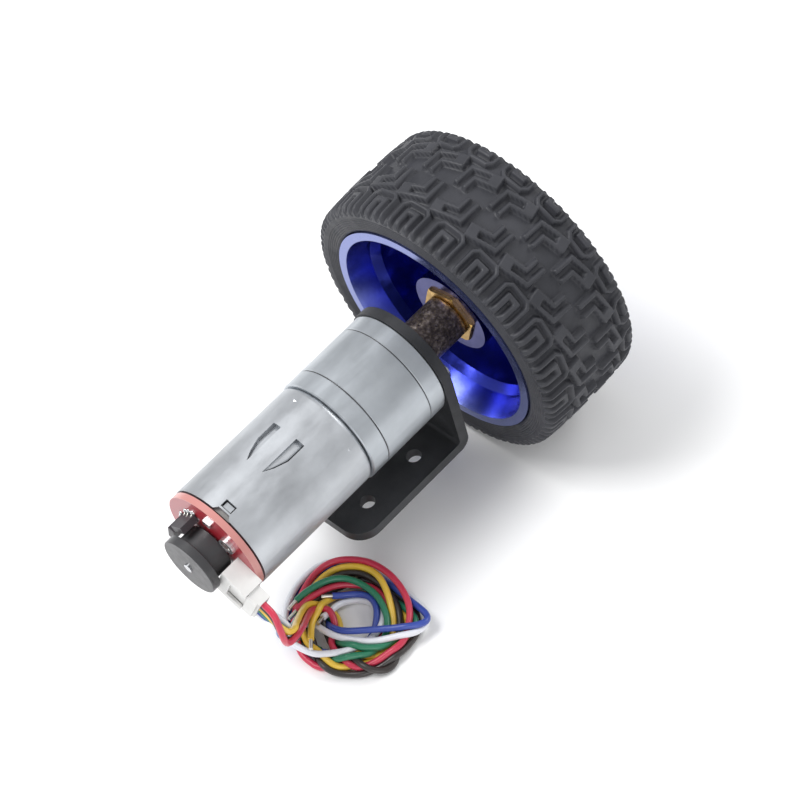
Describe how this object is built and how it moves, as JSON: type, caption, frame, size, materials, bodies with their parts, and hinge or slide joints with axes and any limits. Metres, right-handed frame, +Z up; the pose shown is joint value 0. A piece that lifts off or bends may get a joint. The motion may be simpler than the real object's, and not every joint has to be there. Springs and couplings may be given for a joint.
{
  "type": "wheel drive unit",
  "caption": "Spur gearmotor with encoder, L mounting bracket and hex coupling, driving a rubber-tyred wheel, with its signal and power wires.",
  "frame": {"origin": "centre of the four chassis holes, on the underside of the bracket's flange", "axes": "+Y along the wheel axis towards the wheel, +Z up from the flange to the motor, +X across the flange"},
  "size_m": [0.065, 0.0973, 0.065],
  "materials": {
    "bracket_coat": "fine blasted matt black",
    "steel_screw": "zinc plated",
    "zinc_gearbox": "turned, satin",
    "steel_can": "bright zinc plated",
    "bronze_bush": "oiled sintered bronze",
    "gear_brass": "cut teeth",
    "bright_steel": "ground",
    "cap_nylon": "moulded",
    "ferrite": "sintered",
    "copper": "enamelled copper",
    "lamination": "stacked",
    "board_red": "solder mask",
    "sensor_black": "moulded epoxy",
    "solder": "solder",
    "connector_white": "translucent nylon",
    "contact_tin": "tinned",
    "wire_red": "PVC",
    "wire_black": "PVC",
    "wire_yellow": "PVC",
    "wire_green": "PVC",
    "wire_blue": "PVC",
    "wire_white": "PVC",
    "wire_mixed": "PVC",
    "barrel_dark": "dark bronze",
    "hex_brass": "turned",
    "rim_blue": "blue chrome plate",
    "tyre_rubber": "moulded rubber",
    "foam": "open-cell foam",
    "magnet_black": "moulded"
  },
  "bodies": {
    "drive_unit": {"mounting_bracket": "bracket_coat", "bracket_screws": "steel_screw", "gearbox_front_plate": "zinc_gearbox", "output_bush": "bronze_bush", "gearbox_ring": "zinc_gearbox", "gearbox_rear_plate": "zinc_gearbox", "gearbox_screws": "steel_screw", "layshaft_pin": "bright_steel", "gear_washers": "bronze_bush", "motor_screws": "steel_screw", "motor_can": "steel_can", "front_bush": "bronze_bush", "rear_bush": "bronze_bush", "end_cap": "cap_nylon", "stator_magnets": "ferrite", "magnet_clips": "bright_steel", "brushes": "copper", "motor_terminals": "contact_tin", "encoder_board": "board_red", "hall_sensors": "sensor_black", "board_parts": "solder", "header_socket": "connector_white", "header_pins": "contact_tin", "cable_plug": "connector_white", "wire_red": "wire_red", "wire_black": "wire_black", "wire_yellow": "wire_yellow", "wire_green": "wire_green", "wire_blue": "wire_blue", "wire_white": "wire_white", "wire_coil": "wire_mixed"},
    "wheel": {"output_shaft": "bright_steel", "output_gear": "gear_brass", "coupling_barrel": "barrel_dark", "grub_screws": "steel_screw", "hex_adapter": "hex_brass", "rim": "rim_blue", "tyre": "tyre_rubber", "foam_insert": "foam", "wheel_washer": "steel_screw", "wheel_screw": "steel_screw"},
    "rotor": {"motor_shaft": "bright_steel", "armature_core": "lamination", "windings": "copper", "commutator": "copper", "motor_pinion": "gear_brass", "magnet_drum": "magnet_black"},
    "gear_1": {"compound_gear_1": "gear_brass"},
    "gear_2": {"compound_gear_2": "gear_brass"},
    "gear_3": {"compound_gear_3": "gear_brass"}
  },
  "joints": [
    {"name": "wheel_spin", "type": "hinge", "parent": "drive_unit", "child": "wheel", "pos_m": [0, 0.038, 0.02], "axis": [0, 1, 0], "continuous": true},
    {"name": "rotor_spin", "type": "hinge", "parent": "drive_unit", "child": "rotor", "pos_m": [0, 0, 0.02], "axis": [0, 1, 0], "continuous": true},
    {"name": "gear_1_spin", "type": "hinge", "parent": "drive_unit", "child": "gear_1", "pos_m": [0, 0, 0.0264], "axis": [0, 1, 0], "continuous": true},
    {"name": "gear_2_spin", "type": "hinge", "parent": "drive_unit", "child": "gear_2", "pos_m": [0, 0, 0.02], "axis": [0, 1, 0], "continuous": true},
    {"name": "gear_3_spin", "type": "hinge", "parent": "drive_unit", "child": "gear_3", "pos_m": [0, 0, 0.0264], "axis": [0, 1, 0], "continuous": true}
  ],
  "couplings": [
    {"joint": "gear_3_spin", "follows": "wheel_spin", "ratio": -2.2},
    {"joint": "gear_2_spin", "follows": "wheel_spin", "ratio": 4.84},
    {"joint": "gear_1_spin", "follows": "wheel_spin", "ratio": -10.648},
    {"joint": "rotor_spin", "follows": "wheel_spin", "ratio": 21.296}
  ]
}
